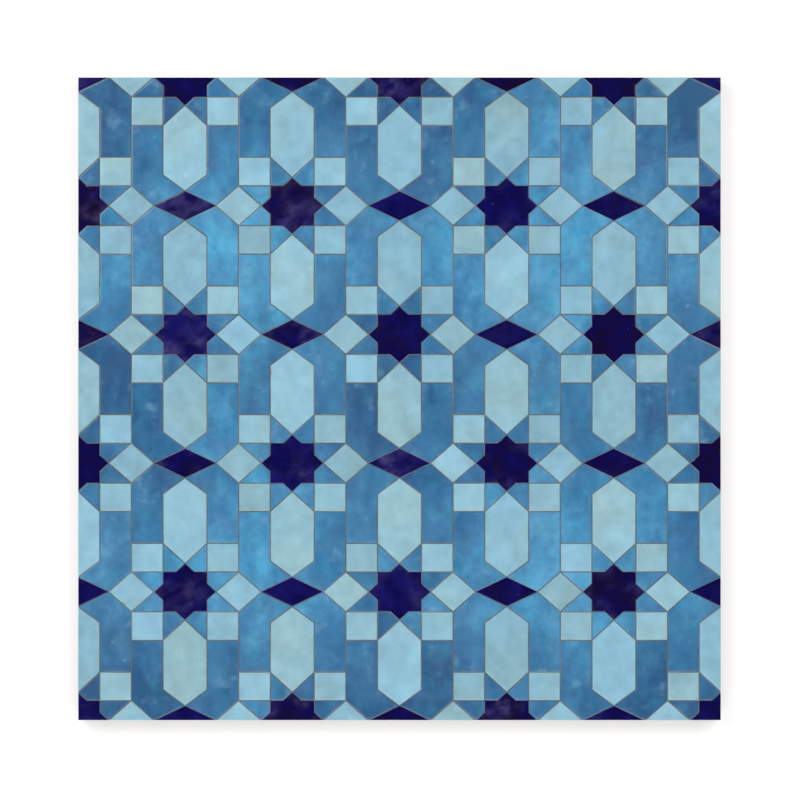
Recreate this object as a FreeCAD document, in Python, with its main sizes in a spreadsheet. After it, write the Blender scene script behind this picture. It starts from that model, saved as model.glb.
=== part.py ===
import FreeCAD, Part
import os
import Sketcher

# A square panel of hand-cut glazed mosaic tiles set in a bed of mortar.
# Millimetres. The middle of the back is the origin, X is across, Y is up the
# pattern and Z is out of the glazed face.

doc = FreeCAD.newDocument("zellige_panel")

# The sheet of sizes. Pattern sizes are between the centre lines of joints.
SIZES = [
    ("star_width", "41.7", "square body of a star, across"),
    ("star_height", "37.9", "square body of a star, up"),
    ("star_span_x", "58.6", "star from tip to tip, across"),
    ("star_span_y", "53.6", "star from tip to tip, up"),
    ("square_width", "30.05", "square tile beside a star, across"),
    ("square_height", "27.05", "square tile beside a star, up"),
    ("hexagon_side", "46.9", "long upright side of a hexagon"),
    ("hexagon_shoulder", "15.4", "rise of a hexagon's point over its side"),
    ("lozenge_height", "27.8", "lozenge between four hexagons, up"),
    ("columns", "6", "half repeats across the panel"),
    ("rows", "5", "half repeats up the panel"),
    ("joint_width", "1.1", "open width of a joint at the face"),
    ("joint_recess", "0.5", "mortar in a joint, below the face"),
    ("tile_thickness", "11", "one tile, face to back"),
    ("chisel_lean", "4", "degrees that a cut side leans in to the back"),
    ("arris", "0.4", "worn edge round a glazed face"),
    ("bed_thickness", "8", "mortar behind the tiles"),
]

sizes = doc.addObject("Spreadsheet::Sheet", "Sizes")
for row, (name, amount, note) in enumerate(SIZES, 1):
    sizes.set(f"A{row}", name)
    sizes.set(f"B{row}", amount)
    sizes.set(f"C{row}", note)
    sizes.setAlias(f"B{row}", name)
doc.recompute()

# Lines of the pattern, out from the middle of a star
BODY_X = "Sizes.star_width / 2"
BODY_Y = "Sizes.star_height / 2"
TIP_X = "Sizes.star_span_x / 2"
TIP_Y = "Sizes.star_span_y / 2"
NOTCH_X = f"{TIP_X} * (1 - Sizes.star_height / Sizes.star_span_y)"
NOTCH_Y = f"{TIP_Y} * (1 - Sizes.star_width / Sizes.star_span_x)"
SQUARE_X = f"({BODY_X} + Sizes.square_width)"
SQUARE_Y = f"({BODY_Y} + Sizes.square_height)"
SHOULDER_Y = f"({SQUARE_Y} + Sizes.hexagon_side)"
POINT_Y = f"({SHOULDER_Y} + Sizes.hexagon_shoulder)"

# Half of the repeat: star to the next lozenge, across and up
HALF_X = f"(2 * {SQUARE_X})"
HALF_Y = f"({POINT_Y} + Sizes.lozenge_height / 2)"

# The trimmed panel: its edges lie half a joint inside the pattern's lines
WIDTH = f"(Sizes.columns * {HALF_X} - Sizes.joint_width)"
HEIGHT = f"(Sizes.rows * {HALF_Y} - Sizes.joint_width)"
FACE_Z = "(Sizes.bed_thickness + Sizes.tile_thickness)"

# Two heights or directions closer than this are the same
CLOSE = 0.001


def minus(formula):
    """The same line on the other side of the star."""
    return f"-({formula})"


# Corners of each shape of tile on the joint lines, anticlockwise
STAR = [
    (TIP_X, "0"),
    (BODY_X, NOTCH_Y),
    (BODY_X, BODY_Y),
    (NOTCH_X, BODY_Y),
    ("0", TIP_Y),
    (minus(NOTCH_X), BODY_Y),
    (minus(BODY_X), BODY_Y),
    (minus(BODY_X), NOTCH_Y),
    (minus(TIP_X), "0"),
    (minus(BODY_X), minus(NOTCH_Y)),
    (minus(BODY_X), minus(BODY_Y)),
    (minus(NOTCH_X), minus(BODY_Y)),
    ("0", minus(TIP_Y)),
    (NOTCH_X, minus(BODY_Y)),
    (BODY_X, minus(BODY_Y)),
    (BODY_X, minus(NOTCH_Y)),
]
LOZENGE = [
    (f"{HALF_X} - {TIP_X}", "0"),
    (HALF_X, "-Sizes.lozenge_height / 2"),
    (f"{HALF_X} + {TIP_X}", "0"),
    (HALF_X, "Sizes.lozenge_height / 2"),
]
HEXAGON = [
    ("0", TIP_Y),
    (BODY_X, SQUARE_Y),
    (BODY_X, SHOULDER_Y),
    ("0", POINT_Y),
    (minus(BODY_X), SHOULDER_Y),
    (minus(BODY_X), SQUARE_Y),
]
SQUARE = [
    (BODY_X, BODY_Y),
    (SQUARE_X, BODY_Y),
    (SQUARE_X, SQUARE_Y),
    (BODY_X, SQUARE_Y),
]
DIAMOND = [
    (TIP_X, "0"),
    (SQUARE_X, minus(BODY_Y)),
    (f"{HALF_X} - {TIP_X}", "0"),
    (SQUARE_X, BODY_Y),
]
UPPER_KITE = [
    ("0", TIP_Y),
    (NOTCH_X, BODY_Y),
    (BODY_X, BODY_Y),
    (BODY_X, SQUARE_Y),
]
SIDE_KITE = [
    (TIP_X, "0"),
    (SQUARE_X, BODY_Y),
    (BODY_X, BODY_Y),
    (BODY_X, NOTCH_Y),
]
BOOT = [
    (BODY_X, SQUARE_Y),
    (SQUARE_X, SQUARE_Y),
    (SQUARE_X, f"{HALF_Y} - {BODY_Y}"),
    (TIP_X, HALF_Y),
    ("0", POINT_Y),
    (BODY_X, SHOULDER_Y),
]


def moved_in(corners, gap):
    """The corners again with every edge of the outline moved in by the gap."""
    inner = []
    before = corners[-1:] + corners[:-1]
    after = corners[1:] + corners[:1]
    for last, here, following in zip(before, corners, after):
        arriving = (here - last).normalize()
        leaving = (following - here).normalize()
        first = FreeCAD.Vector(-arriving.y, arriving.x, 0)
        second = FreeCAD.Vector(-leaving.y, leaving.x, 0)
        inner.append(here + (first + second) * (gap / (1 + first.dot(second))))
    return inner


def hold(sketch, line, end, x, y):
    """Fix one end of a sketch line by its two formulas."""
    for kind, axis, formula in (("DistanceX", -2, x), ("DistanceY", -1, y)):
        if formula == "0":
            sketch.addConstraint(Sketcher.Constraint("PointOnObject", line, end, axis))
            continue
        amount = float(sketch.evalExpression(formula))
        rule = sketch.addConstraint(Sketcher.Constraint(kind, -1, 1, line, end, amount))
        sketch.setExpression(f"Constraints[{rule}]", formula)


def outline(body, plane, outer):
    """Joint lines through the corners, and the tile's edge half a joint inside."""
    sketch = body.newObject("Sketcher::SketchObject", body.Name + "_outline")
    sketch.AttachmentSupport = [(plane["XY_Plane"], "")]
    sketch.MapMode = "FlatFace"
    middle = FreeCAD.Vector(0, 0, 0)
    corners = [
        FreeCAD.Vector(float(sketch.evalExpression(x)), float(sketch.evalExpression(y)), 0)
        for x, y in outer
    ]
    edges = moved_in(corners, sizes.joint_width / 2)
    count = len(corners)
    for ring, guide in ((corners, True), (edges, False)):
        for start, end in zip(ring, ring[1:] + ring[:1]):
            sketch.addGeometry(Part.LineSegment(start, end), guide)
    for line in range(count):
        following = (line + 1) % count
        edge = count + line
        sketch.addConstraint(Sketcher.Constraint("Coincident", line, 2, following, 1))
        sketch.addConstraint(Sketcher.Constraint("Coincident", edge, 2, count + following, 1))
        sketch.addConstraint(Sketcher.Constraint("Parallel", edge, line))
        gap = sizes.joint_width / 2
        rule = sketch.addConstraint(Sketcher.Constraint("Distance", edge, 1, line, gap))
        sketch.setExpression(f"Constraints[{rule}]", "Sizes.joint_width / 2")
        hold(sketch, line, 1, *outer[line])
    # The way from one star to the next one up and across
    step = FreeCAD.Vector(
        float(sketch.evalExpression(HALF_X)), float(sketch.evalExpression(HALF_Y)), 0
    )
    diagonal = sketch.addGeometry(Part.LineSegment(middle, step), True)
    sketch.addConstraint(Sketcher.Constraint("Coincident", diagonal, 1, -1, 1))
    hold(sketch, diagonal, 2, HALF_X, HALF_Y)
    return sketch, f"Axis{count}"


def repeat(body, name, direction, spacing, times):
    """One row of copies for a pattern."""
    row = body.newObject("PartDesign::LinearPattern", f"{body.Name}_{name}")
    row.Direction = direction
    row.Mode = "Spacing"
    row.setExpression("Offset", spacing)
    row.setExpression("Occurrences", times)
    return row


def tiles(name, corners, mirrors):
    """All tiles of one shape: cut one, then lay it round every star."""
    body = doc.addObject("PartDesign::Body", name)
    plane = {feature.Role: feature for feature in body.Origin.OriginFeatures}
    sketch, diagonal = outline(body, plane, corners)

    pad = body.newObject("PartDesign::Pad", name + "_blank")
    pad.Profile = sketch
    pad.Reversed = True
    pad.setExpression("Length", "Sizes.tile_thickness")
    doc.recompute()

    sides = [
        f"Face{number}"
        for number, face in enumerate(pad.Shape.Faces, 1)
        if abs(face.normalAt(0, 0).z) < CLOSE
    ]
    lean = body.newObject("PartDesign::Draft", name + "_lean")
    lean.Base = (pad, sides)
    lean.NeutralPlane = (plane["XY_Plane"], [""])
    lean.Reversed = True
    lean.setExpression("Angle", "Sizes.chisel_lean")
    doc.recompute()

    glazed = [
        f"Face{number}"
        for number, face in enumerate(lean.Shape.Faces, 1)
        if abs(face.CenterOfMass.z) < CLOSE
    ]
    arris = body.newObject("PartDesign::Chamfer", name + "_arris")
    arris.Base = (lean, glazed)
    arris.setExpression("Size", "Sizes.arris")
    doc.recompute()

    pattern = body.newObject("PartDesign::MultiTransform", name + "_pattern")
    pattern.TransformMode = "Whole shape"
    steps = []
    for role in mirrors:
        mirror = body.newObject("PartDesign::Mirrored", f"{name}_over_{role}")
        mirror.MirrorPlane = (plane[role], [""])
        steps.append(mirror)
    across = (plane["X_Axis"], [""])
    up = (plane["Y_Axis"], [""])
    slant = f"sqrt({HALF_X} ^ 2 + {HALF_Y} ^ 2)"
    steps.append(repeat(body, "offset", (sketch, [diagonal]), slant, "2"))
    steps.append(repeat(body, "columns", across, f"2 * {HALF_X}", "floor(Sizes.columns / 2) + 1"))
    steps.append(repeat(body, "rows", up, f"2 * {HALF_Y}", "floor(Sizes.rows / 2) + 1"))
    pattern.Transformations = steps
    body.Tip = pattern
    body.setExpression("Placement.Base.x", f"-Sizes.columns * {HALF_X} / 2")
    body.setExpression("Placement.Base.y", f"-Sizes.rows * {HALF_Y} / 2")
    body.setExpression("Placement.Base.z", FACE_Z)
    doc.recompute()
    return body


def block(name, depth):
    """A plain block over the whole panel, from its back up."""
    box = doc.addObject("Part::Box", name)
    box.setExpression("Length", WIDTH)
    box.setExpression("Width", HEIGHT)
    box.setExpression("Height", depth)
    box.setExpression("Placement.Base.x", f"-{WIDTH} / 2")
    box.setExpression("Placement.Base.y", f"-{HEIGHT} / 2")
    doc.recompute()
    return box


# Every tile is laid whole, then the panel is trimmed square
SHAPES = {
    "star_tiles": (STAR, ()),
    "lozenge_tiles": (LOZENGE, ("YZ_Plane",)),
    "hexagon_tiles": (HEXAGON, ("XZ_Plane",)),
    "square_tiles": (SQUARE, ("YZ_Plane", "XZ_Plane")),
    "diamond_tiles": (DIAMOND, ("YZ_Plane",)),
    "upper_kite_tiles": (UPPER_KITE, ("YZ_Plane", "XZ_Plane")),
    "side_kite_tiles": (SIDE_KITE, ("YZ_Plane", "XZ_Plane")),
    "boot_tiles": (BOOT, ("YZ_Plane", "XZ_Plane")),
}
trim = block("trim", f"{FACE_Z} + Sizes.tile_thickness")
parts = []
for name, (corners, mirrors) in SHAPES.items():
    laid = tiles(name.replace("_tiles", ""), corners, mirrors)
    trimmed = doc.addObject("Part::Common", name)
    trimmed.Base = laid
    trimmed.Tool = trim
    trimmed.Label = name
    doc.recompute()
    parts.append(trimmed)

# Mortar is poured behind and between the tiles, so their seats are cut from it
poured = block("poured", f"{FACE_Z} - Sizes.joint_recess")
seats = doc.addObject("Part::Compound", "seats")
seats.Links = list(parts)
bed = doc.addObject("Part::Cut", "mortar_bed")
bed.Base = poured
bed.Tool = seats
bed.Label = "mortar_bed"
doc.recompute()
parts.append(bed)

for item in doc.Objects:
    if "Invalid" in item.State or "Error" in item.State:
        raise RuntimeError(f"{item.Label} did not build: {item.State}")

os.makedirs("parts", exist_ok=True)
for part in parts:
    shape = part.Shape
    if shape.isNull() or not shape.isValid():
        raise RuntimeError(f"{part.Label} has no sound shape")
    shape.exportStep(f"parts/{part.Label}.step")
    box = shape.BoundBox
    print(
        f"{part.Label}: {len(shape.Solids)} solids, {shape.Volume / 1000:.1f} cm3,"
        f" {box.XLength:.2f} x {box.YLength:.2f} x {box.ZLength:.2f} mm"
    )
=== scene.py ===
# %% [markdown]
# # A panel of hand-cut glazed mosaic
#
# The object is a square panel of small glazed tiles, each chiselled by hand and
# set face to face with hardly a joint between them, on a bed of mortar. Its flat
# pattern is fixed by the CAD model. What makes it look real is what a drawing
# leaves out: no two faces lie quite level, edges are nibbled, and each glaze is
# cloudy. This script keeps the model's places and adds those three things.

# %% Load the frame
from collections import namedtuple
import math

import bmesh
import bpy
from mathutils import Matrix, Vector


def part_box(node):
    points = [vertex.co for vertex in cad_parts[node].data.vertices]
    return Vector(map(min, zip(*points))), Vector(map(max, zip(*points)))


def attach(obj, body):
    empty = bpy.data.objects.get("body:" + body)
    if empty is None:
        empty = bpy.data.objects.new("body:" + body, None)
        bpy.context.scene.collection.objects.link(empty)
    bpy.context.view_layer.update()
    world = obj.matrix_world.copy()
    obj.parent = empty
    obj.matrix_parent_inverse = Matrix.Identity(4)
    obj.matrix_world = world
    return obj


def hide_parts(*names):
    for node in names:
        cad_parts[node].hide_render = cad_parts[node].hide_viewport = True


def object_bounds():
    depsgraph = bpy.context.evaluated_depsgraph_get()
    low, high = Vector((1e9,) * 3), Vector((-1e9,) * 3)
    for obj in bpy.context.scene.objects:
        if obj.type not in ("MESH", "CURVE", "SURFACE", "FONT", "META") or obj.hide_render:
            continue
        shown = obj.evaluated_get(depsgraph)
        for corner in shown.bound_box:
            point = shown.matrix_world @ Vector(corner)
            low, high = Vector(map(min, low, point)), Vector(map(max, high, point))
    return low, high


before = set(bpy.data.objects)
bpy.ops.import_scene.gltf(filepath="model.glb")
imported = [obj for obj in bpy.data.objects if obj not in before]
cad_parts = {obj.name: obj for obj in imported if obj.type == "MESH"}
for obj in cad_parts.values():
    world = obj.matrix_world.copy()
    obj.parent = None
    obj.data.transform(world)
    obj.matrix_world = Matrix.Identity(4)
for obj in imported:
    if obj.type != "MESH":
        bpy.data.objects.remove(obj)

MM = 0.001
cad_low, cad_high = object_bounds()
face_z = cad_high.z
tile_back_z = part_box("star_tiles")[0].z
joint_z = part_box("mortar_bed")[1].z
print("panel", [round(side / MM, 1) for side in cad_high - cad_low], "mm")

# %% [markdown]
# ## Writing node trees as sums
#
# Both the shapes and the finishes below come from node trees. Wiring them by
# hand is long to read, so one small class stands for a socket and lets ordinary
# arithmetic add Math nodes. The reflected forms are there too, so that 1 - mask
# reads as it does on paper.

# %% Sockets that can be added and multiplied
class Wire:
    """An output socket. Arithmetic on it adds Math nodes."""

    def __init__(self, board, socket):
        self.board = board
        self.socket = socket

    def also(self, name):
        """Another output of the same node."""
        return Wire(self.board, self.socket.node.outputs[name])

    def math(self, operation, *others):
        """A Math node with this socket first."""
        sockets = dict(enumerate((self, *others)))
        return self.board.node("ShaderNodeMath", {"operation": operation}, sockets)

    def __add__(self, other):
        return self.math("ADD", other)

    def __sub__(self, other):
        return self.math("SUBTRACT", other)

    def __rsub__(self, other):
        return self.board.node("ShaderNodeMath", {"operation": "SUBTRACT"}, {0: other, 1: self})

    def __mul__(self, other):
        return self.math("MULTIPLY", other)

    def __gt__(self, other):
        return self.math("GREATER_THAN", other)

    __radd__ = __add__
    __rmul__ = __mul__

    def between(self, low, high):
        """0 at low, 1 at high, and a smooth step between them."""
        settings = {"interpolation_type": "SMOOTHSTEP"}
        return self.board.node("ShaderNodeMapRange", settings, {0: self, 1: low, 2: high})


print("sums ready")

# %% [markdown]
# A second class holds the tree and has one method that adds any other node.
# Settings come before sockets, because a node such as Mix changes its sockets
# when its settings change.

# %% One method for any node
class Board:
    """A node tree, with one method that adds any node to it."""

    def __init__(self, tree):
        self.tree = tree

    def node(self, kind, settings=None, sockets=None, out=0):
        """Add a node, set it up, fill or link its sockets and return an output."""
        made = self.tree.nodes.new(kind)
        for name, value in (settings or {}).items():
            if name == "stops":
                self.set_stops(made.color_ramp, value)
            else:
                setattr(made, name, value)
        for key, value in (sockets or {}).items():
            if isinstance(value, Wire):
                self.tree.links.new(value.socket, made.inputs[key])
            else:
                made.inputs[key].default_value = value
        return Wire(self, made.outputs[out]) if made.outputs else made

    def set_stops(self, ramp, stops):
        """Give a colour ramp its stops, each a place and a colour."""
        while len(ramp.elements) < len(stops):
            ramp.elements.new(1.0)
        for element, (place, colour) in zip(ramp.elements, stops):
            element.position = place
            element.color = colour


def vector(board, operation, *values, out=0, **named):
    """A Vector Math node."""
    sockets = dict(enumerate(values)) | named
    return board.node("ShaderNodeVectorMath", {"operation": operation}, sockets, out)


def noise(board, place, size, detail=2.0, w=None):
    """Noise whose soft lumps are about this many metres across."""
    sockets = {"Vector": place, "Scale": 1 / size, "Detail": detail}
    if w is None:
        return board.node("ShaderNodeTexNoise", {}, sockets)
    return board.node("ShaderNodeTexNoise", {"noise_dimensions": "4D"}, sockets | {"W": w})


def apart(board, value):
    """A vector taken apart. The first output is X."""
    return board.node("ShaderNodeSeparateXYZ", {}, {0: value})


print("boards ready")

# %% [markdown]
# ## Reading the glazed faces
#
# The CAD model knows exactly where each tile lies, and where the panel was
# trimmed through one. The pattern could be drawn again here from its lines, but
# then two drawings would have to agree. So the faces are read from the model.
# Its meshes are loose triangles: a copy is welded, all but the level top is
# thrown away, and the triangles that share a plane are dissolved. What is left
# is one many-sided face for each tile.

# %% Find each tile's glazed face
WELD = 0.01 * MM
NEARLY_STRAIGHT = math.radians(1)
TILE_NODES = {
    "star_tiles": "navy_glaze",
    "lozenge_tiles": "navy_glaze",
    "hexagon_tiles": "aqua_glaze",
    "square_tiles": "aqua_glaze",
    "diamond_tiles": "aqua_glaze",
    "upper_kite_tiles": "blue_glaze",
    "side_kite_tiles": "blue_glaze",
    "boot_tiles": "blue_glaze",
}


def glazed_faces(node):
    """The corners of each glazed face of a CAD node, anticlockwise from above."""
    shell = bmesh.new()
    shell.from_mesh(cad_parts[node].data)
    bmesh.ops.remove_doubles(shell, verts=shell.verts, dist=WELD)
    low = [face for face in shell.faces if min(v.co.z for v in face.verts) < face_z - WELD]
    bmesh.ops.delete(shell, geom=low, context="FACES")
    bmesh.ops.dissolve_limit(
        shell, angle_limit=NEARLY_STRAIGHT, verts=shell.verts, edges=shell.edges
    )
    faces = [[corner.co.to_2d() for corner in face.verts] for face in shell.faces]
    shell.free()
    return faces


glazed = {node: glazed_faces(node) for node in TILE_NODES}
print({node: len(faces) for node, faces in glazed.items()})

# %% [markdown]
# ## Outlines that know which way is in
#
# A chiselled tile is the same outline again and again: at its back, at its edge,
# and in ever smaller rings over its face. So each outline point carries the
# direction in which it moves when the outline shrinks. At a corner that is the
# mitre of its two edges. An edge along the sawn border of the panel stays where
# it is, so that the border keeps straight.

# %% Edges and their mitres
Edge = namedtuple("Edge", "start inward sawn")


def on_border(start, end):
    """Whether an edge lies along the trimmed border of the panel."""
    return any(
        abs(start[axis] - end[axis]) < WELD and abs(start[axis]) > cad_high[axis] - WELD
        for axis in (0, 1)
    )


def edges_of(corners):
    """Each edge of an outline: its start, its inward normal, and whether it was sawn."""
    edges = []
    for start, end in zip(corners, corners[1:] + corners[:1]):
        along = (end - start).normalized()
        edges.append(Edge(start, Vector((-along.y, along.x)), on_border(start, end)))
    return edges


def mitres(edges, cut, saw):
    """How each edge's start moves as cut edges move in by one distance, sawn by another."""
    moves = []
    for before, here in zip(edges[-1:] + edges[:-1], edges):
        one, two = before.inward, here.inward
        move_one, move_two = (saw if edge.sawn else cut for edge in (before, here))
        turn = one.x * two.y - one.y * two.x
        across = move_one * two.y - move_two * one.y
        up = move_two * one.x - move_one * two.x
        moves.append(Vector((across / turn, up / turn)))
    return moves


every_edge = [edge for faces in glazed.values() for face in faces for edge in edges_of(face)]
print(len(every_edge), "edges,", sum(edge.sawn for edge in every_edge), "of them sawn")

# %% [markdown]
# Each tile also gets a heart for the inner rings to close on. It has to see all
# of the tile's edges, or the rings would fold. The middle of the corners will not
# do for a bent tile, so the point starts there and is pushed away from whichever
# edge is nearest, by smaller and smaller strides, until it settles.

# %% The heart of a tile
HEART_STEPS = 300
FIRST_STRIDE = 2 * MM
STRIDE_KEPT = 0.98


def heart_of(edges):
    """The point that is furthest inside the nearest of all the edges' lines."""
    heart = sum((edge.start for edge in edges), Vector((0, 0))) / len(edges)
    stride = FIRST_STRIDE
    for _ in range(HEART_STEPS):
        nearest = min(edges, key=lambda edge: (heart - edge.start).dot(edge.inward))
        heart = heart + nearest.inward * stride
        stride *= STRIDE_KEPT
    return heart


boot_heart = heart_of(edges_of(glazed["boot_tiles"][0]))
print("a boot's heart", [round(part / MM, 1) for part in boot_heart])

# %% [markdown]
# The outlines go into one flat mesh for each CAD node, with a point every couple
# of millimetres, so that an edge can wander. The model draws a small chamfer round
# each face. Here the face runs out to the cut edge, and the glaze a little over
# it: the thick dark glaze further than the others.

# %% Outline meshes
ARRIS = 0.4 * MM
LIP = {"navy_glaze": 0.50 * MM, "aqua_glaze": 0.12 * MM, "blue_glaze": 0.12 * MM}
# The saw leaves hard tile standing proud of soft mortar
PROUD = 0.04 * MM
POINT_STEP = 1.8 * MM


def rim_points(edges, lip):
    """Points along a tile's cut edge, each with its way in."""
    turns = mitres(edges, 1.0, 0.0)
    moves = mitres(edges, -ARRIS - lip, -PROUD)
    rim = [edge.start + move for edge, move in zip(edges, moves)]
    found = []
    for here, (near, way) in enumerate(zip(rim, turns)):
        far, next_way = rim[here + 1 - len(rim)], turns[here + 1 - len(rim)]
        steps = max(1, round((far - near).length / POINT_STEP))
        for step in range(steps):
            share = step / steps
            found.append((near.lerp(far, share), way.lerp(next_way, share)))
    return found


def outline_mesh(name, faces, lip):
    """One flat face for each tile, at its cut edge, with its ways in, heart and number."""
    points, rings, ways, hearts, numbers = [], [], [], [], []
    for number, corners in enumerate(faces):
        edges = edges_of(corners)
        found = rim_points(edges, lip)
        rings.append(range(len(points), len(points) + len(found)))
        points += [(*point, face_z) for point, _ in found]
        ways += [(*way, 0.0) for _, way in found]
        hearts += [(*heart_of(edges), face_z)] * len(found)
        numbers += [number] * len(found)
    mesh = bpy.data.meshes.new(name)
    mesh.from_pydata(points, [], rings)
    for layer, values in (("way_in", ways), ("heart", hearts)):
        data = mesh.attributes.new(layer, "FLOAT_VECTOR", "POINT").data
        data.foreach_set("vector", [part for value in values for part in value])
    mesh.attributes.new("tile", "INT", "POINT").data.foreach_set("value", numbers)
    return mesh


outlines = {
    node: outline_mesh(node + "_outline", glazed[node], LIP[slot])
    for node, slot in TILE_NODES.items()
}
print(sum(len(mesh.vertices) for mesh in outlines.values()), "outline points")

# %% [markdown]
# ## One tree that chisels every tile
#
# The maker cuts a glazed slab into shapes with a heavy hammer, then leans each
# side back so that the faces meet tightly. In nodes that is a stack of rings. The
# outline is set down at the back, and extruded again and again: up the leaning
# side, round the worn arris, which is the edge between side and face, and in over
# the face. A bevel modifier would be shorter, but could not nibble one place and
# spare the next. Each size is an input of the tree, and the rings are a table.

# %% Sizes of the cut
TREE_SIZES = {
    "Lean": 0.75 * MM,
    "Wobble": 0.12 * MM,
    "Bite": 0.7 * MM,
    "Lift": 0.10 * MM,
    "Tilt": 0.0045,
    "Wave": 0.14 * MM,
}
# Inset from the cut edge and drop below the face, in mm, then bare clay and how much of a
# bite reaches here, both from 0 to 1
ARRIS_RINGS = [
    (0.18, 2.60, 1.0, 0.0),
    (0.03, 1.10, 1.0, 0.4),
    (0.07, 0.45, 0.35, 1.0),
    (0.24, 0.13, 0.0, 1.0),
    (0.60, 0.02, 0.0, 0.6),
    (1.40, 0.0, 0.0, 0.0),
]
# Share of the way to the heart
FACE_RINGS = [0.3, 0.55, 0.8]
print(len(ARRIS_RINGS) + len(FACE_RINGS), "rings on each tile")

# %% [markdown]
# A few short functions name what a geometry tree does again and again: start
# with its inputs, read and write a named attribute, and move points. Every tree
# ends in the same way, as a plain mesh with its material, because an export
# drops instances.

# %% Steps of a geometry tree
def new_tree(name, inputs):
    """A geometry tree with its named inputs, and a board to wire it on."""
    tree = bpy.data.node_groups.new(name, "GeometryNodeTree")
    tree.interface.new_socket("Geometry", in_out="OUTPUT", socket_type="NodeSocketGeometry")
    for label, kind in inputs.items():
        tree.interface.new_socket(label, in_out="INPUT", socket_type="NodeSocket" + kind)
    board = Board(tree)
    return board, board.node("NodeGroupInput")


def stored(board, name, kind="FLOAT_VECTOR"):
    """A named attribute of the points."""
    return board.node("GeometryNodeInputNamedAttribute", {"data_type": kind}, {"Name": name})


def store(board, geometry, name, value, kind="FLOAT", selection=True):
    """Write a named attribute on points."""
    settings = {"data_type": kind, "domain": "POINT"}
    sockets = {"Geometry": geometry, "Name": name, "Value": value, "Selection": selection}
    return board.node("GeometryNodeStoreNamedAttribute", settings, sockets)


def moved(board, geometry, sockets):
    """Set positions."""
    return board.node("GeometryNodeSetPosition", {}, {"Geometry": geometry, **sockets})


def end_tree(board, geometry, material):
    """End a tree in a plain mesh with its material."""
    real = board.node("GeometryNodeRealizeInstances", {}, {"Geometry": geometry})
    painted = board.node("GeometryNodeSetMaterial", {}, {"Geometry": real, "Material": material})
    board.node("NodeGroupOutput", {}, {0: painted})


print("steps ready")

# %% [markdown]
# ### The cut edge and its bites
#
# No hand cuts a straight line, so a noise moves each outline point a hair along
# its way in. A second noise decides where the chisel knocked a chip off the
# arris: only its peaks count, so bites are short and far apart. Both are stored
# on the points, because every ring that grows later starts from them.

# %% Cut the edge
EDGE_WAVE = 9 * MM
BITE_LENGTH = 7 * MM
BITE_FROM, BITE_FULL = 0.68, 0.78
BITE_TURN = 7


def cut_edge(board, given):
    """The outlines, with their wandering edge and its bites stored."""
    place = board.node("GeometryNodeInputPosition")
    seed = given.also("Seed")
    wander = (noise(board, place, EDGE_WAVE, w=seed) - 0.5) * given.also("Wobble")
    step = vector(board, "SCALE", stored(board, "way_in"), Scale=wander)
    edge = vector(board, "ADD", place, step)
    bite = noise(board, place, BITE_LENGTH, w=seed + BITE_TURN).between(BITE_FROM, BITE_FULL)
    cut = store(board, given, "edge", edge, "FLOAT_VECTOR")
    return store(board, cut, "bite", bite)


print("bites are about", BITE_LENGTH / MM, "mm long")

# %% [markdown]
# ### Rings up the side and over the face
#
# One function places a ring: the cut edge moved in, at a height. Another extrudes
# the faces on top and sets them down there, and notes on the new points how bare
# their clay is, for the glaze to read. A bite moves the ring further in and a
# little down, and bares the clay.

# %% Grow the rings
BITE_SINKS = 0.5


def ring_place(board, inset, height):
    """The cut edge moved in by an inset and put at a height."""
    step = vector(board, "SCALE", stored(board, "way_in"), Scale=inset)
    shifted = apart(board, vector(board, "ADD", stored(board, "edge"), step))
    return board.node("ShaderNodeCombineXYZ", {}, {0: shifted, 1: shifted.also("Y"), 2: height})


def extruded(board, geometry, top, place, clay):
    """Raise the top faces to a new ring and note how bare its clay is."""
    sockets = {"Mesh": geometry, "Selection": top, "Offset Scale": 0.0, "Individual": True}
    grown = board.node("GeometryNodeExtrudeMesh", {"mode": "FACES"}, sockets)
    new_top = grown.also("Top")
    set_down = moved(board, grown, {"Selection": new_top, "Position": place})
    return store(board, set_down, "clay", clay, selection=new_top), new_top


def raised_sides(board, given, back):
    """The back extruded up the leaning side and round the worn arris."""
    bite = stored(board, "bite", "FLOAT")
    grown, top = back, True
    for inset, drop, clay, share in ARRIS_RINGS:
        reach = bite * share
        height = face_z - drop * MM - reach * (BITE_SINKS * drop * MM)
        spot = ring_place(board, reach * given.also("Bite") + inset * MM, height)
        grown, top = extruded(board, grown, top, spot, reach.math("MAXIMUM", clay))
    return grown, top


def closed_face(board, grown, top):
    """The face extruded on, in rings that close on the heart."""
    rim = ring_place(board, ARRIS_RINGS[-1][0] * MM, face_z)
    for share in FACE_RINGS:
        sockets = {0: share, 4: rim, 5: stored(board, "heart")}
        spot = board.node("ShaderNodeMix", {"data_type": "VECTOR"}, sockets, out=1)
        grown, top = extruded(board, grown, top, spot, 0.0)
    return grown


print("rings drop", [drop for _, drop, _, _ in ARRIS_RINGS], "mm below the face")

# %% [markdown]
# ### Tipped and waved
#
# The tiles are laid by hand, so each is lifted and tipped by its own random
# amounts, and its glaze is a little wavy. That is what makes light run over such a
# panel in patches. The faces really move, instead of a bump in the glaze, so the
# mesh shows it as well. The backs stay level in their mortar: the move fades out
# from the face down to the back.

# %% Tip and wave the tiles
FACE_WAVE = 28 * MM
# How far apart in the noise two tiles' waves are
WAVE_STRIDE = 3


def draw(board, given, low, high, turn):
    """A random number for each tile. Another turn gives another number."""
    sockets = {2: low, 3: high, "Seed": given.also("Seed") + turn}
    sockets["ID"] = stored(board, "tile", "INT")
    return board.node("FunctionNodeRandomValue", {"data_type": "FLOAT"}, sockets, out=1)


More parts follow.
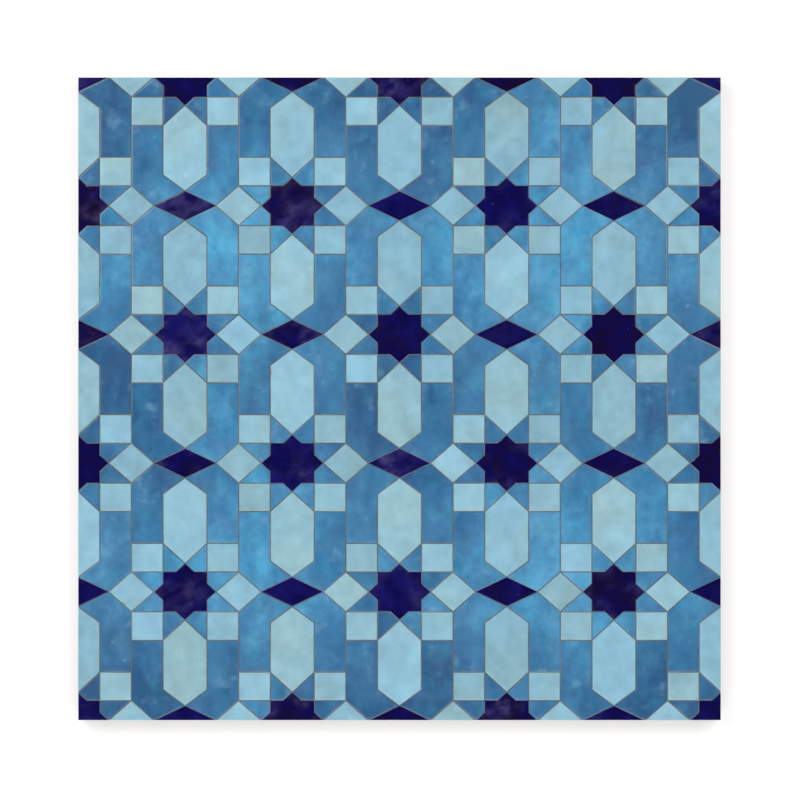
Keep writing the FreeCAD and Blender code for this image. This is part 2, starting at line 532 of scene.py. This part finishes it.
def unsettled(board, given, tiles):
    """The tiles with each face lifted, tipped and waved."""
    place = board.node("GeometryNodeInputPosition")
    share = apart(board, place).also("Z").between(tile_back_z, face_z)
    arm = apart(board, vector(board, "SUBTRACT", place, stored(board, "heart")))
    across = arm * draw(board, given, -1.0, 1.0, turn=2)
    up = arm.also("Y") * draw(board, given, -1.0, 1.0, turn=3)
    lift = draw(board, given, -1.0, 1.0, turn=1) * given.also("Lift")
    slice_of = stored(board, "tile", "INT") * WAVE_STRIDE + given.also("Seed")
    wave = (noise(board, place, FACE_WAVE, w=slice_of) - 0.5) * 2 * given.also("Wave")
    height = (lift + (across + up) * given.also("Tilt") + wave) * share
    shift = board.node("ShaderNodeCombineXYZ", {}, {2: height})
    return moved(board, tiles, {"Offset": shift})


print("faces tip by up to", round(math.degrees(TREE_SIZES["Tilt"]), 2), "degrees each way")

# %% [markdown]
# ### The whole tree
#
# The steps are put in order. A flipped copy of the back closes each tile. Two
# random numbers for each tile, its tone and its cast, are left on the points for
# the glazes. Faces are shaded smooth, with crisp edges only where the clay turns
# sharply.

# %% Put the tree together
SHARP = math.radians(42)
SEAM = WELD / 10


def sealed(board, grown, back):
    """The grown tiles joined to a flipped copy of their backs."""
    flipped = board.node("GeometryNodeFlipFaces", {}, {"Mesh": back})
    both = board.node("GeometryNodeJoinGeometry")
    for half in (grown, flipped):
        board.tree.links.new(half.socket, both.socket.node.inputs[0])
    sockets = {"Geometry": both, "Distance": SEAM}
    return board.node("GeometryNodeMergeByDistance", {}, sockets)


def shaded(board, tiles):
    """The tiles shaded smooth, but for their sharp edges."""
    smooth = board.node("GeometryNodeSetShadeSmooth", {"domain": "FACE"}, {"Geometry": tiles})
    angle = board.node("GeometryNodeInputMeshEdgeAngle")
    sockets = {"Geometry": smooth, "Selection": angle > SHARP, "Shade Smooth": False}
    return board.node("GeometryNodeSetShadeSmooth", {"domain": "EDGE"}, sockets)


def chisel_tree():
    """Outline faces in, finished tiles out."""
    inputs = {"Outlines": "Geometry", "Seed": "Int", "Glaze": "Material"}
    inputs |= {label: "Float" for label in TREE_SIZES}
    board, given = new_tree("chiselled_tile", inputs)
    low = ring_place(board, given.also("Lean"), tile_back_z)
    back = moved(board, cut_edge(board, given), {"Position": low})
    back = store(board, back, "clay", 1.0)
    grown, top = raised_sides(board, given, back)
    tiles = sealed(board, closed_face(board, grown, top), back)
    tiles = unsettled(board, given, tiles)
    tiles = store(board, tiles, "tone", draw(board, given, 0.0, 1.0, turn=4))
    tiles = store(board, tiles, "cast", draw(board, given, 0.0, 1.0, turn=5))
    end_tree(board, shaded(board, tiles), given.also("Glaze"))
    return board.tree


tile_tree = chisel_tree()
print(len(tile_tree.nodes), "nodes in", tile_tree.name)

# %% [markdown]
# ## Glazes
#
# Three glazes cover the panel. All are thin, glossy and uneven over the same
# pale clay, which shows on the cut sides and where the arris is nibbled. They
# differ in colour and in how cloudy they are. Pictures of real glaze could be
# laid on the tiles, but a finish made of noise has no edge and no repeat, and
# every tile gets a cloud of its own. Colours are written as they look on a
# screen, from 0 to 255, and turned into light here.

# %% Colours and the steps of a material
RELIEF = 0.3 * MM


def light(red, green, blue):
    """A screen colour as linear light, with full alpha."""
    def linear(level):
        share = level / 255
        return share / 12.92 if share <= 0.04045 else ((share + 0.055) / 1.055) ** 2.4
    return (linear(red), linear(green), linear(blue), 1.0)


def blend(board, share, one, two):
    """Mix two colours."""
    sockets = {0: share, 6: one, 7: two}
    return board.node("ShaderNodeMix", {"data_type": "RGBA"}, sockets, out=2)


def cells(board, place, size):
    """A cell pattern: distance from each cell's point, and its random colour taken apart."""
    cell = board.node("ShaderNodeTexVoronoi", {}, {"Vector": place, "Scale": 1 / size})
    return cell, board.node("ShaderNodeSeparateColor", {}, {0: cell.also("Color")})


def new_material(name):
    """An empty material, and a board to wire it on."""
    material = bpy.data.materials.new(name)
    material.use_nodes = True
    material.node_tree.nodes.clear()
    return material, Board(material.node_tree)


def finish(board, height, strength, sockets):
    """End a material in one Principled shader, with a bump from a height."""
    relief = {"Strength": strength, "Distance": RELIEF, "Height": height}
    bump = board.node("ShaderNodeBump", {}, relief)
    shader = board.node("ShaderNodeBsdfPrincipled", {}, sockets | {"Normal": bump})
    board.node("ShaderNodeOutputMaterial", {}, {"Surface": shader})


print("a middle grey is", round(light(128, 128, 128)[0], 3), "as light")

# %% [markdown]
# ### The clay body
#
# Under each glaze is a sandy, pale brown earthenware, low fired so that it can be
# chiselled. Its grain and its patches come from two noises, and its pores from a
# cell pattern with a dark dot in the middle of each cell.

# %% Clay
CLAY_PALE = light(200, 179, 155)
CLAY_DARK = light(166, 143, 121)
CLAY_PORE = light(118, 96, 80)
CLAY_PATCH = 9 * MM
CLAY_RANGE = (0.25, 0.75)
PORE_SPACING = 1.9 * MM
PORE_RIM = (0.10, 0.22)
PORE_SHARE = 0.55
CLAY_RELIEF = 0.5


def clay_body(board, place, grain):
    """The clay's colour and height."""
    patch = noise(board, place, CLAY_PATCH)
    pore = 1 - cells(board, place, PORE_SPACING)[0].between(*PORE_RIM)
    colour = blend(board, (grain + patch - 0.5).between(*CLAY_RANGE), CLAY_DARK, CLAY_PALE)
    return blend(board, pore * PORE_SHARE, colour, CLAY_PORE), (grain - pore) * CLAY_RELIEF


print("clay", [round(part, 3) for part in CLAY_PALE[:3]])

# %% [markdown]
# ### The body of a glaze
#
# What the three glazes share is written once. The number that the tile tree left
# on the points says where the clay is bare, and a grain roughens that border.
# Here and there a bubble burst in the kiln and left a pit, a dot in some cells of
# a cell pattern. They come in crowds, so a slow noise decides how many cells have
# one. The skin is slightly rippled, which shows only in reflections. Each glaze
# brings its own colour, as a function.

# %% Pits
PIT_SPACING = 8 * MM
PIT_RIM = (0.04, 0.12)
PIT_CROWD = 70 * MM
CROWD_RANGE = (0.5, 0.72)
FEW_PITS, MANY_PITS = 0.07, 0.5
PIT_CHANCE = (0.0, 0.05)


def pits(board, place):
    """1 in a burst bubble, else 0."""
    spot, chance = cells(board, place, PIT_SPACING)
    crowd = noise(board, place, PIT_CROWD).between(*CROWD_RANGE)
    share = FEW_PITS + crowd * (MANY_PITS - FEW_PITS)
    return (1 - spot.between(*PIT_RIM)) * (share - chance).between(*PIT_CHANCE)


print("pits in", FEW_PITS, "to", MANY_PITS, "of the cells")

# %% Glaze over clay
GRAIN = 1.2 * MM
BARE_GRAIN = 0.5
BARE_RANGE = (0.42, 0.62)
RIPPLE = 11 * MM
SKIN = 2.2 * MM
SKIN_HEIGHT, PIT_DEPTH = 0.15, 0.5
GLAZE_BUMP = 0.4
RIPPLE_ROUGH = 0.06
CLAY_ROUGH = 0.85


def reading(board, name):
    """A number that the tile tree left on the mesh."""
    return board.node("ShaderNodeAttribute", {"attribute_name": name}, out="Fac")


def swing(value, reach):
    """A number from 0 to 1 as a push either way, by half the reach at most."""
    return (value - 0.5) * reach


def glaze(name, colour_of, roughness):
    """A glossy glaze over clay. colour_of gives its colour from place, tone, cast and pits."""
    material, board = new_material(name)
    place = board.node("ShaderNodeTexCoord", out="Object")
    pit = pits(board, place)
    colour = colour_of(board, place, reading(board, "tone"), reading(board, "cast"), pit)
    grain = noise(board, place, GRAIN, detail=4.0)
    clay, clay_height = clay_body(board, place, grain)
    bare = (reading(board, "clay") + swing(grain, BARE_GRAIN)).between(*BARE_RANGE)
    ripple = noise(board, place, RIPPLE, detail=1.0)
    skin = noise(board, place, SKIN, detail=1.0)
    glaze_height = ripple + skin * SKIN_HEIGHT - pit * PIT_DEPTH
    finish(board, glaze_height * (1 - bare) + clay_height * bare, GLAZE_BUMP, {
        "Base Color": blend(board, bare, colour, clay),
        "Roughness": (ripple * RIPPLE_ROUGH + roughness) * (1 - bare) + bare * CLAY_ROUGH,
    })
    return material


print("bare clay is", CLAY_ROUGH, "rough")

# %% [markdown]
# ### Mid blue
#
# The blue pieces carry most of the panel's life. They are paler towards the
# middle of each quarter of the panel and darker towards its corners, differ from
# piece to piece, and are clouded with soft streaks, milky puffs that are partly
# thin glaze and partly painted highlight, and a few bright flecks that are
# painted highlights. Two cosines give the slow change, the tile's own random
# number the second, and noise the rest. They all move one number along a ramp
# from dark to pale.

# %% Blue glaze
QUARTER = (cad_high.x - cad_low.x) / 2
BLUE_RAMP = [
    (0.0, light(53, 96, 138)),
    (0.5, light(73, 133, 176)),
    (1.0, light(98, 178, 220)),
]
BLUE_MIDDLE = 0.42
SLOW_CHANGE = 0.16
# Pale colour of the milky puffs and of the painted highlights
MILKY_AND_HIGHLIGHT = light(150, 198, 230)
BLUE_PIT = light(44, 78, 110)
# How far across the lumps of each noise are
BLUE_LUMPS = {
    "cloud": 26 * MM,
    "mottle": 8 * MM,
    "hue": 30 * MM,
    "grey": 24 * MM,
    "puff_milk_and_highlight": 16 * MM,
    "fleck_highlight": 8 * MM,
}
CLOUD_STRETCH = (1.4, 0.8, 1.0)
# How far each swings the tone, the hue or the saturation
BLUE_SWINGS = {
    "tone": 0.32,
    "cloud": 1.05,
    "mottle": 0.45,
    "hue": 0.028,
    "cast": 0.03,
    "grey": 0.17,
}
# Where the puffs, partly milky glaze and partly painted highlight, and the painted highlight
# flecks show, and how strongly
PUFF_MILK_AND_HIGHLIGHT_RANGE, PUFF_MILK_AND_HIGHLIGHT_SHARE = (0.56, 0.82), 0.3
FLECK_HIGHLIGHT_RANGE, FLECK_HIGHLIGHT_SHARE = (0.67, 0.86), 0.4
BLUE_PIT_SHARE = 0.5
# How far apart in the noise two tiles can be
OWN_REACH = 40


def own(number, turn=0):
    """A tile's own place in the noise. Another turn gives another place."""
    return number * OWN_REACH + turn


def slow_change(board, place):
    """A slow wave over the panel, highest in the middle of each quarter."""
    turns = math.tau / QUARTER
    spot = apart(board, place)
    across = (spot * turns).math("COSINE")
    up = (spot.also("Y") * turns).math("COSINE")
    return (across + up) * -SLOW_CHANGE


def blue_colour(board, place, tone, cast, pit):
    """Cloudy mid blue, with milky puffs and painted highlights."""
    lumps, swings = BLUE_LUMPS, BLUE_SWINGS
    streaked = vector(board, "MULTIPLY", place, CLOUD_STRETCH)
    cloud = noise(board, streaked, lumps["cloud"], detail=4.0, w=own(tone))
    mottle = noise(board, place, lumps["mottle"], detail=3.0, w=own(tone, 3))
    pale = BLUE_MIDDLE + slow_change(board, place) + swing(tone, swings["tone"])
    pale = pale + swing(cloud, swings["cloud"]) + swing(mottle, swings["mottle"])
    colour = board.node("ShaderNodeValToRGB", {"stops": BLUE_RAMP}, {0: pale})
    hue = noise(board, place, lumps["hue"], w=own(cast))
    grey = noise(board, place, lumps["grey"], w=own(cast, 7))
    sockets = {"Color": colour, "Hue": 0.5 + swing(hue, swings["hue"])}
    sockets["Saturation"] = 1.0 + swing(cast, swings["cast"]) + swing(grey, swings["grey"])
    colour = board.node("ShaderNodeHueSaturation", {}, sockets)
    # Painted highlights: soft puffs that are partly milky glaze, and small bright flecks,
    # blended towards a pale colour
    puff_milk_and_highlight = noise(board, place, lumps["puff_milk_and_highlight"], detail=3.0, w=own(cast, 5)).between(*PUFF_MILK_AND_HIGHLIGHT_RANGE)
    fleck_highlight = noise(board, place, lumps["fleck_highlight"], w=own(cast, 9)).between(*FLECK_HIGHLIGHT_RANGE)
    painted_highlight_and_milk = (puff_milk_and_highlight * PUFF_MILK_AND_HIGHLIGHT_SHARE).math("MAXIMUM", fleck_highlight * FLECK_HIGHLIGHT_SHARE)
    colour = blend(board, painted_highlight_and_milk, colour, MILKY_AND_HIGHLIGHT)
    return blend(board, pit * BLUE_PIT_SHARE, colour, BLUE_PIT)


blue_glaze = glaze("blue_glaze", blue_colour, roughness=0.1)
print(blue_glaze.name, len(blue_glaze.node_tree.nodes), "nodes")

# %% [markdown]
# ### Pale aqua
#
# The aqua is opaque and calm. It leans to grey on some pieces and to sky
# blue on others, and drifts between the two inside the larger ones. A few small
# blooms are paler. A pale glaze also shows its pits most, as small grey dots.

# %% Aqua glaze
AQUA_GREY = light(154, 192, 200)
AQUA_SKY = light(144, 193, 215)
AQUA_BLOOM = light(176, 214, 230)
AQUA_PIT = light(112, 150, 165)
AQUA_LUMPS = {"drift": 60 * MM, "mottle": 14 * MM, "bloom": 9 * MM}
AQUA_SWINGS = {"drift": 1.9, "cast": 0.35, "tone": 0.19, "mottle": 0.6}
SKY_SHARE = 0.58
AQUA_SHADE = 0.995
BLOOM_RANGE, BLOOM_SHARE = (0.64, 0.84), 0.6
AQUA_PIT_SHARE = 0.6


def aqua_colour(board, place, tone, cast, pit):
    """Opaque pale aqua that drifts from greyish to sky."""
    lumps, swings = AQUA_LUMPS, AQUA_SWINGS
    drift = noise(board, place, lumps["drift"], w=own(cast))
    share = SKY_SHARE + swing(drift, swings["drift"]) + swing(cast, swings["cast"])
    colour = blend(board, share.between(0.0, 1.0), AQUA_GREY, AQUA_SKY)
    mottle = noise(board, place, lumps["mottle"], detail=4.0, w=own(tone))
    shade = AQUA_SHADE + swing(tone, swings["tone"]) + swing(mottle, swings["mottle"])
    colour = board.node("ShaderNodeHueSaturation", {}, {"Color": colour, "Value": shade})
    bloom = noise(board, place, lumps["bloom"], w=own(tone, 6)).between(*BLOOM_RANGE)
    colour = blend(board, bloom * BLOOM_SHARE, colour, AQUA_BLOOM)
    return blend(board, pit * AQUA_PIT_SHARE, colour, AQUA_PIT)


aqua_glaze = glaze("aqua_glaze", aqua_colour, roughness=0.13)
print(aqua_glaze.name, len(aqua_glaze.node_tree.nodes), "nodes")

# %% [markdown]
# ### Navy
#
# The stars and lozenges have the darkest glaze, from nearly black violet to deep
# ultramarine. On a few pieces it is thin along one part, where the brush shows as
# soft, slightly slanting clouds of a greyer violet. A Mapping node turns and
# stretches the noise for them, a slower noise keeps them to one patch, and the
# tile's random number decides how much of it shows.

# %% Navy glaze
NAVY_RAMP = [
    (0.0, light(21, 9, 46)),
    (0.5, light(12, 9, 76)),
    (1.0, light(26, 24, 104)),
]
NAVY_CLOUD = light(84, 76, 128)
NAVY_MIDDLE = 0.48
NAVY_LUMPS = {"deep": 20 * MM, "streak": 10 * MM, "patch": 32 * MM}
NAVY_SWINGS = {"tone": 0.5, "deep": 1.6}
BRUSH_SLANT = math.radians(30)
BRUSH_STRETCH = (1.25, 0.85, 1.0)
STREAK_RANGE = (0.30, 0.72)
PATCH_RANGE = (0.44, 0.66)
CLOUDY_TILES = (0.30, 0.90)
THIN_SHARE, NAVY_PIT_SHARE = 0.8, 0.7


def navy_colour(board, place, tone, cast, pit):
    """Deep blue violet, cloudy on a few pieces."""
    lumps, swings = NAVY_LUMPS, NAVY_SWINGS
    deep = noise(board, place, lumps["deep"], detail=3.0, w=own(tone))
    share = NAVY_MIDDLE + swing(tone, swings["tone"]) + swing(deep, swings["deep"])
    colour = board.node("ShaderNodeValToRGB", {"stops": NAVY_RAMP}, {0: share})
    sockets = {"Vector": place, "Rotation": (0.0, 0.0, BRUSH_SLANT), "Scale": BRUSH_STRETCH}
    brushed = board.node("ShaderNodeMapping", {"vector_type": "TEXTURE"}, sockets)
    streak = noise(board, brushed, lumps["streak"], detail=3.0, w=own(cast))
    patch = noise(board, place, lumps["patch"], w=own(cast, 4))
    thin = streak.between(*STREAK_RANGE) * patch.between(*PATCH_RANGE)
    thin = thin * cast.between(*CLOUDY_TILES)
    cloud = (thin * THIN_SHARE).math("MAXIMUM", pit * NAVY_PIT_SHARE)
    return blend(board, cloud, colour, NAVY_CLOUD)


navy_glaze = glaze("navy_glaze", navy_colour, roughness=0.09)
print(navy_glaze.name, len(navy_glaze.node_tree.nodes), "nodes")

# %% [markdown]
# ## Laying the tiles
#
# Each CAD node of tiles is replaced by one mesh that the tree makes from its
# outlines. The modifier's inputs are set by identifier before anything is
# evaluated, the result is taken as a plain mesh, and the outlines' helper
# attributes, which no finish reads, are removed.

# %% Run a tree once
def run_tree(name, mesh, tree, values):
    """Run a geometry tree on a mesh once, and keep the result as a plain piece."""
    piece = bpy.data.objects.new(name, mesh)
    bpy.context.scene.collection.objects.link(piece)
    modifier = piece.modifiers.new("nodes", "NODES")
    modifier.node_group = tree
    for socket in tree.interface.items_tree:
        if socket.in_out == "INPUT" and socket.name in values:
            modifier[socket.identifier] = values[socket.name]
    piece.update_tag()
    depsgraph = bpy.context.evaluated_depsgraph_get()
    result = bpy.data.meshes.new_from_object(piece.evaluated_get(depsgraph))
    piece.modifiers.remove(modifier)
    piece.data = result
    result.name = name
    return piece


def triangles(piece):
    """How many triangles a piece has."""
    return sum(len(face.vertices) - 2 for face in piece.data.polygons)


print("inputs", [socket.name for socket in tile_tree.interface.items_tree])

# %% Make the tile pieces
GLAZES = {"navy_glaze": navy_glaze, "aqua_glaze": aqua_glaze, "blue_glaze": blue_glaze}
HELPERS = ("way_in", "heart", "tile", "edge", "bite")
SEED_STEP = 10

for order, (node, slot) in enumerate(TILE_NODES.items()):
    values = TREE_SIZES | {"Seed": SEED_STEP * order, "Glaze": GLAZES[slot]}
    piece = run_tree("glazed_" + node, outlines[node], tile_tree, values)
    for helper in HELPERS:
        piece.data.attributes.remove(piece.data.attributes[helper])
    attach(piece, "root")
    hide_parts(node)
    print(piece.name, triangles(piece), "triangles")

# %% [markdown]
# ## Mortar
#
# One grey bed fills the joints and backs the tiles. Its shape in the model is
# right, so the node stays and only gets a finish: a grey paste with sand in it,
# rough all over. A cell pattern makes the sand, with a grain in some of its
# cells, from dark to pale.

# %% Mortar finish
MORTAR_DARK = light(94, 97, 96)
MORTAR_PALE = light(132, 134, 130)
SAND_DARK = light(74, 68, 62)
SAND_PALE = light(182, 172, 156)
PASTE_PATCH, PASTE_GRAIN = 30 * MM, 0.7 * MM
PASTE_RANGE = (0.2, 0.8)
SAND_SPACING = 1.1 * MM
SAND_RIM = (0.22, 0.36)
SAND_CHANCE = (0.5, 0.55)
SAND_SHARE = 0.6
MORTAR_BUMP = 0.7
MORTAR_ROUGH, GRAIN_ROUGH = 0.86, 0.1


def mortar_finish():
    """Sandy grey mortar."""
    material, board = new_material("mortar")
    place = board.node("ShaderNodeTexCoord", out="Object")
    patch = noise(board, place, PASTE_PATCH, detail=5.0)
    fine = noise(board, place, PASTE_GRAIN, detail=3.0)
    paste = blend(board, (patch + fine - 0.5).between(*PASTE_RANGE), MORTAR_DARK, MORTAR_PALE)
    spot, chance = cells(board, place, SAND_SPACING)
    sand = (1 - spot.between(*SAND_RIM)) * chance.between(*SAND_CHANCE)
    grain = blend(board, chance.also("Green"), SAND_DARK, SAND_PALE)
    finish(board, fine + sand, MORTAR_BUMP, {
        "Base Color": blend(board, sand * SAND_SHARE, paste, grain),
        "Roughness": fine * GRAIN_ROUGH + MORTAR_ROUGH,
    })
    return material


mortar = mortar_finish()
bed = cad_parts["mortar_bed"]
bed.data.materials.clear()
bed.data.materials.append(mortar)
print("mortar on", bed.name)

# %% [markdown]
# ## Grit
#
# Along the joints and the cut sides the coarsest sand stands proud of the paste.
# A bump could suggest it, but the border is seen from the side. So points are
# scattered on a copy of the bed, and each carries a small stone of twenty faces,
# turned and stretched at random and sunk to its middle. The faces that a tile
# hides are taken away first, so that no stone is wasted on them.

# %% Where grit shows
GRIT_SIZES = {"Density": 120000.0, "Smallest": 0.10 * MM, "Largest": 0.26 * MM}


def seen_bed(board, given):
    """The faces of the bed in the joints and on its four cut sides."""
    spot = apart(board, board.node("GeometryNodeInputPosition"))
    across = spot.math("ABSOLUTE") > cad_high.x - WELD
    up = spot.also("Y").math("ABSOLUTE") > cad_high.y - WELD
    joint = spot.also("Z") > joint_z - WELD
    shows = across.math("MAXIMUM", up).math("MAXIMUM", joint)
    sockets = {"Geometry": given, "Selection": shows}
    return board.node("GeometryNodeSeparateGeometry", {"domain": "FACE"}, sockets)


def drawn(board, given, low, high, turn):
    """A random vector for each point."""
    sockets = {0: low, 1: high, "Seed": given.also("Seed") + turn}
    return board.node("FunctionNodeRandomValue", {"data_type": "FLOAT_VECTOR"}, sockets)


print(GRIT_SIZES["Density"] * MM * MM, "stones on each square millimetre")

# %% Scatter the grit
CLEAR_OF_FLOOR = 1.5
FLATTEST, LONGEST = (0.7, 0.7, 0.7), (1.2, 1.2, 1.2)
FULL_TURN = (math.tau, math.tau, math.tau)
GRIT_SEED = 3


def grit_tree():
    """Bed in, loose stones on its joints and sides out."""
    inputs = {"Bed": "Geometry", "Seed": "Int", "Mortar": "Material"}
    inputs |= {label: "Float" for label in GRIT_SIZES}
    board, given = new_tree("mortar_grit", inputs)
    seed, largest = given.also("Seed"), given.also("Largest")
    sockets = {"Mesh": seen_bed(board, given), "Density": given.also("Density"), "Seed": seed}
    points = board.node("GeometryNodeDistributePointsOnFaces", {}, sockets)
    sockets = {2: given.also("Smallest"), 3: largest, "Seed": seed + 1}
    size = board.node("FunctionNodeRandomValue", {"data_type": "FLOAT"}, sockets, out=1)
    stretch = drawn(board, given, FLATTEST, LONGEST, turn=2)
    rise = apart(board, board.node("GeometryNodeInputPosition")).also("Z")
    stone = board.node("GeometryNodeMeshIcoSphere", {}, {"Radius": 1.0, "Subdivisions": 1})
    stones = board.node("GeometryNodeInstanceOnPoints", {}, {
        "Points": points,
        "Selection": rise > largest * CLEAR_OF_FLOOR,
        "Instance": stone,
        "Rotation": drawn(board, given, (0, 0, 0), FULL_TURN, turn=3),
        "Scale": vector(board, "SCALE", stretch, Scale=size),
    })
    end_tree(board, stones, given.also("Mortar"))
    return board.tree


values = GRIT_SIZES | {"Seed": GRIT_SEED, "Mortar": mortar}
grit = run_tree("mortar_grit", bed.data.copy(), grit_tree(), values)
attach(grit, "root")
print(grit.name, triangles(grit), "triangles")

# %% [markdown]
# ## Floor
#
# The panel lies on a pale matt floor. A floor lit no more than the panel would
# look grey, so it glows a little, only for rays from the camera and for mirrored
# ones. That makes it white without lighting the tiles, and leaves the soft shadow
# round the panel. Far from the lamps it glows more, for low views.

# %% Floor
FLOOR_SIDE = 14.0
FLOOR_PALE = light(232, 232, 232)
UNLIT = light(0, 0, 0)
WHITE = light(255, 255, 255)
NEAR_GLOW, FAR_GLOW = 0.34, 0.85
# Metres from the middle of the panel
GLOW_GROWS = (0.7, 2.2)


def floor_finish():
    """Pale matt floor that the camera sees as white where no shadow falls."""
    material, board = new_material("floor")
    seen = board.node("ShaderNodeLightPath", out="Is Camera Ray")
    shown = seen.math("MAXIMUM", seen.also("Is Glossy Ray"))
    shown = shown.math("MAXIMUM", seen.also("Is Transmission Ray"))
    place = board.node("ShaderNodeTexCoord", out="Object")
    far = vector(board, "LENGTH", place, out="Value").between(*GLOW_GROWS)
    level = NEAR_GLOW + far * (FAR_GLOW - NEAR_GLOW)
    matt = board.node("ShaderNodeBsdfDiffuse", {}, {"Color": FLOOR_PALE})
    white = blend(board, shown * level, UNLIT, WHITE)
    glow = board.node("ShaderNodeEmission", {}, {"Color": white})
    both = board.node("ShaderNodeAddShader", {}, {0: matt, 1: glow})
    board.node("ShaderNodeOutputMaterial", {}, {"Surface": both})
    return material


half = FLOOR_SIDE / 2
corners = [(-half, -half, 0), (half, -half, 0), (half, half, 0), (-half, half, 0)]
floor_mesh = bpy.data.meshes.new("floor")
floor_mesh.from_pydata(corners, [], [(0, 1, 2, 3)])
floor_mesh.materials.append(floor_finish())
floor = bpy.data.objects.new("floor", floor_mesh)
bpy.context.scene.collection.objects.link(floor)
print("floor", FLOOR_SIDE, "m square")

# %% [markdown]
# ## Light
#
# A glossy face seen square on mirrors whatever hangs over it, and a white ceiling
# would veil the navy. So the room is bright round the horizon and dark overhead,
# and the light on the panel comes from three broad lamps at the sides, a little
# stronger from the left. They are set so that a colour renders about as written.
# A thin band at the horizon is as white as the floor, for low views.

# %% World
# Shares of white
ZENITH, HORIZON, HAZE = 0.024, 0.76, 1.0
# Between these heights on a dome of radius 1 the room turns dark, and the haze ends
TURNS_DARK = (0.05, 0.75)
HAZE_ENDS = (0.03, 0.12)


def dim_overhead():
    """A room that is bright at the horizon and dark overhead."""
    world = bpy.data.worlds.new("room")
    bpy.context.scene.world = world
    world.use_nodes = True
    world.node_tree.nodes.clear()
    board = Board(world.node_tree)
    rise = apart(board, board.node("ShaderNodeTexCoord", out="Generated")).also("Z")
    level = HORIZON + rise.between(*TURNS_DARK) * (ZENITH - HORIZON)
    haze = (1 - rise.between(*HAZE_ENDS)) * (HAZE - HORIZON)
    sky = blend(board, level + haze, UNLIT, WHITE)
    room = board.node("ShaderNodeBackground", {}, {"Color": sky})
    board.node("ShaderNodeOutputWorld", {}, {"Surface": room})


dim_overhead()
print("room from", HORIZON, "at the horizon to", ZENITH, "overhead")

# %% Lamps
LAMP_DISTANCE = 1.7
LAMP_SIDE = 1.2
# Bearing from +X, height above the floor, both in degrees, and power in watts
LAMPS = {
    "left_lamp": (150, 42, 15.6),
    "right_lamp": (30, 42, 12.9),
    "near_lamp": (270, 42, 12.9),
}


def hang_lamp(name, bearing, height, power):
    """A broad square lamp that faces the middle of the panel."""
    lamp = bpy.data.lights.new(name, "AREA")
    lamp.shape = "SQUARE"
    lamp.size = LAMP_SIDE
    lamp.energy = power
    place = bpy.data.objects.new(name, lamp)
    bpy.context.scene.collection.objects.link(place)
    flat = math.cos(math.radians(height))
    out = Vector((
        flat * math.cos(math.radians(bearing)),
        flat * math.sin(math.radians(bearing)),
        math.sin(math.radians(height)),
    ))
    place.location = Vector((0, 0, face_z)) + out * LAMP_DISTANCE
    place.rotation_euler = out.to_track_quat("Z", "Y").to_euler()


for name, setting in LAMPS.items():
    hang_lamp(name, *setting)
print(len(LAMPS), "lamps")

# %% [markdown]
# ## Camera
#
# The picture is taken straight down, with no sign of perspective. A long lens
# from high up gives that. Its height follows from the size of a picture pixel on
# the glazed faces, and its place from the pixel where the pattern has its middle.

# %% Camera
PICTURE = 800
MM_PER_PIXEL = 0.94927
PATTERN_MIDDLE = (399.48, 398.8)
LENS = 100.0
SENSOR = 36.0

view = bpy.data.cameras.new("camera")
view.lens = LENS
view.sensor_width = SENSOR
frame_side = PICTURE * MM_PER_PIXEL * MM
camera = bpy.data.objects.new("camera", view)
bpy.context.scene.collection.objects.link(camera)
camera.location = (
    (PICTURE / 2 - PATTERN_MIDDLE[0]) * MM_PER_PIXEL * MM,
    (PATTERN_MIDDLE[1] - PICTURE / 2) * MM_PER_PIXEL * MM,
    face_z + frame_side * LENS / SENSOR,
)
bpy.context.scene.camera = camera
bpy.context.scene.view_settings.view_transform = "Standard"
print("camera", [round(part, 4) for part in camera.location])
